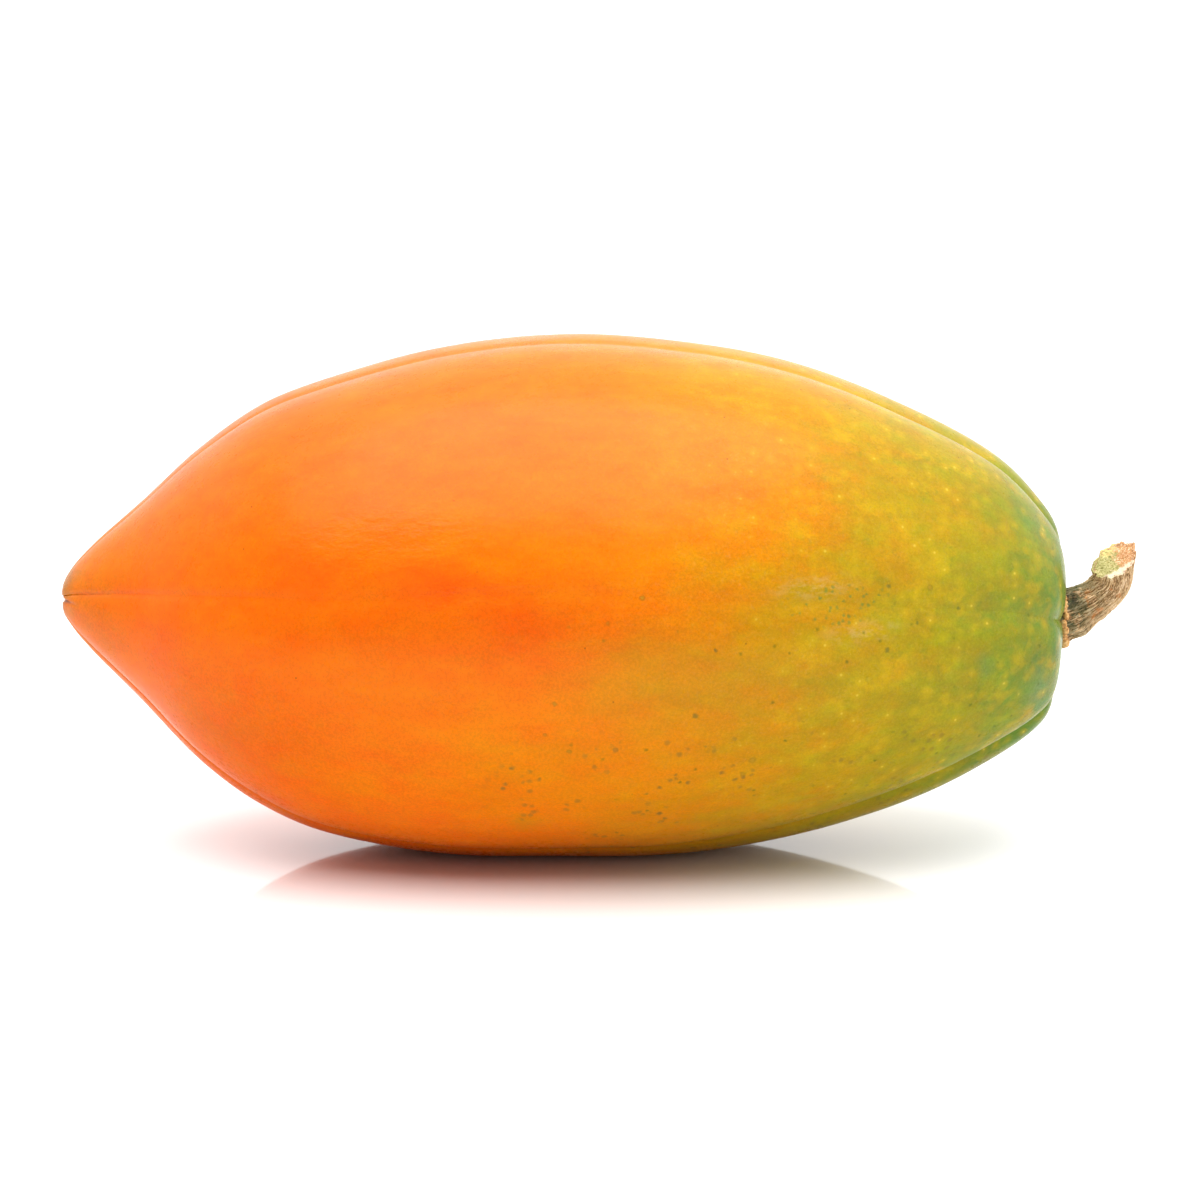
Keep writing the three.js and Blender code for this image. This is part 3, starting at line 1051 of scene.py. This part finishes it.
def pith_dip(place, share):
    """How deep the pith has shrunk at one point of the cut. Share is 1 at the rim and 0 in the middle."""
    coarse = mathutils.noise.noise(place / MM * 0.7)
    fine = mathutils.noise.noise(Vector((place.x * 1.2, place.y * 2.6, place.z * 2.6)) / MM)
    hollow = 0.45 * (1 - share**2) if share < 0.93 else -0.1
    return (hollow + 0.22 * coarse + 0.16 * fine) * MM


def knife_cut(mesh, face_material):
    """Cuts the tube at the plane, and closes both ends. The cut face gets a material of its own."""
    mesh.materials.append(face_material)
    pith_slot = len(mesh.materials) - 1
    body = bmesh.new()
    body.from_mesh(mesh)
    closeness = body.verts.layers.float.new("rim")
    parts = body.verts[:] + body.edges[:] + body.faces[:]
    cut = {"plane_co": CUT_PLACE, "plane_no": CUT_NORMAL, "clear_outer": True}
    bmesh.ops.bisect_plane(body, geom=parts, **cut)
    bmesh.ops.remove_doubles(body, verts=body.verts[:], dist=0.004 * MM)
    foot, rim = sorted(open_ends(body), key=lambda end: end[0].co.x)
    body.faces.new(foot)
    middle = sum((corner.co for corner in rim), Vector()) / len(rim)
    outer = rim
    for ring in range(1, CUT_RINGS):
        share = 1 - (ring / CUT_RINGS) ** 0.9
        inner = []
        for corner in rim:
            place = middle + (corner.co - middle) * share
            point = body.verts.new(place - CUT_NORMAL * pith_dip(place, share))
            point[closeness] = share
            inner.append(point)
        for i in range(len(rim)):
            face = body.faces.new((outer[i - 1], outer[i], inner[i], inner[i - 1]))
            face.material_index = pith_slot
        outer = inner
    pith = body.verts.new(middle - CUT_NORMAL * pith_dip(middle, 0))
    for i in range(len(rim)):
        body.faces.new((outer[i - 1], outer[i], pith)).material_index = pith_slot
    for face in body.faces:
        face.smooth = True
    bmesh.ops.recalc_face_normals(body, faces=body.faces[:])
    body.to_mesh(mesh)
    body.free()


# %% [markdown]
# ## Bark and pith
# The bark's colour follows its relief: nearly black in the furrows, partly the dried bark's own colour and
# partly painted shade, and tan on the ridges that rub pale.
# Near its foot it is still dark green. The cut is coloured by the place on it, across and up.

# %% Bark and pith materials
def bark_material():
    material, tree, shader, place = new_material("papaya stalk bark")
    furrow = stored(tree, "furrow")
    along = stored(tree, "along")
    drawn_out = stored(tree, "bark_place", "Vector")
    fibres = noise(drawn_out, 0.4, 3.0, 0.7)
    tone = noise(place, 1.6 * MM, 3.0, 0.6)
    # darker in the furrows: partly the bark's own colour, partly painted shade
    bark_tone_with_furrow_shade = furrow * 0.7 + (fibres - 0.5) * 1.2 + (tone - 0.5) * 0.4 + 0.08
    colour = colours(
        bark_tone_with_furrow_shade,
        (0.0, srgb(66, 44, 26)),
        (0.22, srgb(136, 102, 66)),
        (0.5, srgb(188, 150, 104)),
        (0.75, srgb(218, 184, 140)),
        (1.0, srgb(244, 220, 186)),
    )
    _, _, height = split(place)
    low = (height - BASIN.z) / (5 * MM)
    mossy = (along - low * 0.12).ramp(0.5, 0.2) * noise(place, 2.2 * MM, 3.0, 0.6).ramp(0.36, 0.52)
    colour = mixed(mossy * 0.7, colour, srgb(44, 78, 52))
    foot = nearness(place, BASIN / MM + Vector((3.5, -4, 5)), (4, 5, 3))
    sooty = foot * noise(place, 1.2 * MM, 3.0).ramp(0.4, 0.55)
    colour = mixed(sooty * 0.85, colour, srgb(34, 34, 26))
    pink = low.ramp(0.2, -0.6) * along.ramp(0.3, 0.5)
    colour = mixed(pink * 0.35, colour, srgb(226, 176, 152))
    rusty = noise(place, 2.6 * MM, 2.0, 0.6).ramp(0.58, 0.7)
    colour = mixed(rusty * 0.6, colour, srgb(206, 130, 66))
    plug(tree, colour, shader.inputs["Base Color"])
    shader.inputs["Roughness"].default_value = 0.8
    shader.inputs["Specular IOR Level"].default_value = 0.2
    bumped(tree, shader, fibres, 0.12 * MM)
    return material


def pith_material():
    material, tree, shader, place = new_material("papaya stalk pith")
    across_way = (Vector((1, 0, 0)) - CUT_NORMAL * CUT_NORMAL.x).normalized()
    up_way = CUT_NORMAL.cross(across_way)
    middle = BASIN + CUT_PLACE
    away = vector_math("SUBTRACT", place, middle)
    across, up = (
        vector_math("DOT_PRODUCT", away, way, output="Value") / (4 * MM)
        for way in (across_way, up_way)
    )
    rim = stored(tree, "rim")
    fibres = noise(place, 0.4 * MM, 4.0, 0.75)
    tone = noise(place, 0.9 * MM, 4.0, 0.7)
    ragged = (tone - 0.5) * 2.4
    colour = colours(
        fibres,
        (0.36, srgb(118, 112, 48)),
        (0.5, srgb(168, 160, 92)),
        (0.66, srgb(212, 200, 146)),
    )
    colour = mixed((up + ragged).ramp(0.2, 0.7), colour, srgb(224, 204, 128))
    brown = (across * 1.3 + up * 0.2 + ragged * 1.4).ramp(-0.2, 0.6)
    colour = mixed(brown * 0.85, colour, srgb(196, 128, 78))
    colour = mixed(brown * fibres.ramp(0.52, 0.6), colour, srgb(244, 214, 176))
    cream = (across * 0.4 - up + ragged * 0.35).ramp(0.6, 0.8) * rim.ramp(0.25, 0.5)
    colour = mixed(cream * 0.7, colour, srgb(248, 230, 204))
    edge = (rim + ragged * 0.25).ramp(0.84, 0.95)
    colour = mixed(edge * 0.8, colour, srgb(146, 96, 66))
    plug(tree, colour, shader.inputs["Base Color"])
    shader.inputs["Roughness"].default_value = 0.7
    bumped(tree, shader, fibres, 0.15 * MM)
    return material


# %% Make the stalk
stalk = run_tree("papaya_stalk", stalk_tree(), stalk_table(220), bark_material())
knife_cut(stalk.data, pith_material())
stalk.data.transform(Matrix.Translation(BASIN))
stalk_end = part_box("stalk")[1].x
for corner in stalk.data.vertices:
    corner.co.x = min(corner.co.x, stalk_end)
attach(stalk, "root")
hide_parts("stalk")
print("stalk has", len(stalk.data.polygons), "faces")

# %% [markdown]
# ## The ring of cork
# Where the stalk meets the skin the fruit has healed with a ring of small corky lumps. They are made like
# beads on a string: a round row of points, one lumpy ball set on each with a size of its own, and noise
# that makes them all different once they are real. The ring is made flat and then turned to face along the
# fruit.

# %% Cork ring
def cork_tree():
    sizes = {
        "Lumps": 24,
        "Ring radius": 5.7 * MM,
        "Smallest": 0.6 * MM,
        "Largest": 1.05 * MM,
        "Scatter": 0.35 * MM,
        "Crumb height": 0.4 * MM,
        "Crumb size": 0.8 * MM,
        "Seed": 31,
    }
    tree, wires = geometry_tree("cork ring", sizes)
    circle = put(
        tree,
        "GeometryNodeMeshCircle",
        {"Vertices": wires["Lumps"], "Radius": wires["Ring radius"]},
        "Mesh",
    )
    chances = []
    for k in range(3):
        limits = {"Min": -1.0, "Max": 1.0, "Seed": wires["Seed"] + k}
        chances.append(put(tree, "FunctionNodeRandomValue", limits, "Value", data_type="FLOAT"))
    scatter = join(tree, *(chance * wires["Scatter"] for chance in chances))
    loose = put(tree, "GeometryNodeSetPosition", {"Geometry": circle, "Offset": scatter})
    x, y, _ = split(put(tree, "GeometryNodeInputPosition"))
    turn = join(tree, 0.0, 0.0, y.angle_from(x))
    girth = lerp(wires["Smallest"], wires["Largest"], chances[0] * 0.5 + 0.5)
    ball = put(tree, "GeometryNodeMeshIcoSphere", {"Radius": 1.0, "Subdivisions": 4}, "Mesh")
    plump = join(tree, girth, girth * 1.35, girth)
    placing = {"Points": loose, "Instance": ball, "Rotation": turn, "Scale": plump}
    balls = put(tree, "GeometryNodeInstanceOnPoints", placing)
    lumps = put(tree, "GeometryNodeRealizeInstances", {"Geometry": balls})
    crumbs = noise(put(tree, "GeometryNodeInputPosition"), wires["Crumb size"], 3.0, 0.6)
    lift = (crumbs - 0.5) * wires["Crumb height"]
    normal = put(tree, "GeometryNodeInputNormal")
    offset = vector_math("SCALE", normal, Scale=lift)
    finish_tree(tree, put(tree, "GeometryNodeSetPosition", {"Geometry": lumps, "Offset": offset}), wires)
    return tree


def cork_material():
    material, tree, shader, place = new_material("papaya cork")
    tone = noise(place, 0.7 * MM, 4.0, 0.7)
    colour = colours(
        tone,
        (0.3, srgb(112, 78, 44)),
        (0.45, srgb(206, 150, 90)),
        (0.6, srgb(238, 190, 126)),
        (0.75, srgb(250, 224, 176)),
    )
    plug(tree, colour, shader.inputs["Base Color"])
    shader.inputs["Roughness"].default_value = 0.85
    shader.inputs["Specular IOR Level"].default_value = 0.2
    bumped(tree, shader, tone, 0.15 * MM)
    return material


CORK_AHEAD = 2.5 * MM

cork = run_tree("cork_ring", cork_tree(), bpy.data.meshes.new("nothing"), cork_material())
facing = Matrix.Translation(BASIN + Vector((CORK_AHEAD, 0, 0))) @ Matrix.Rotation(math.pi / 2, 4, "Y")
cork.data.transform(facing)
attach(cork, "root")
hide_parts("stalk")
print("cork ring has", len(cork.data.polygons), "faces")
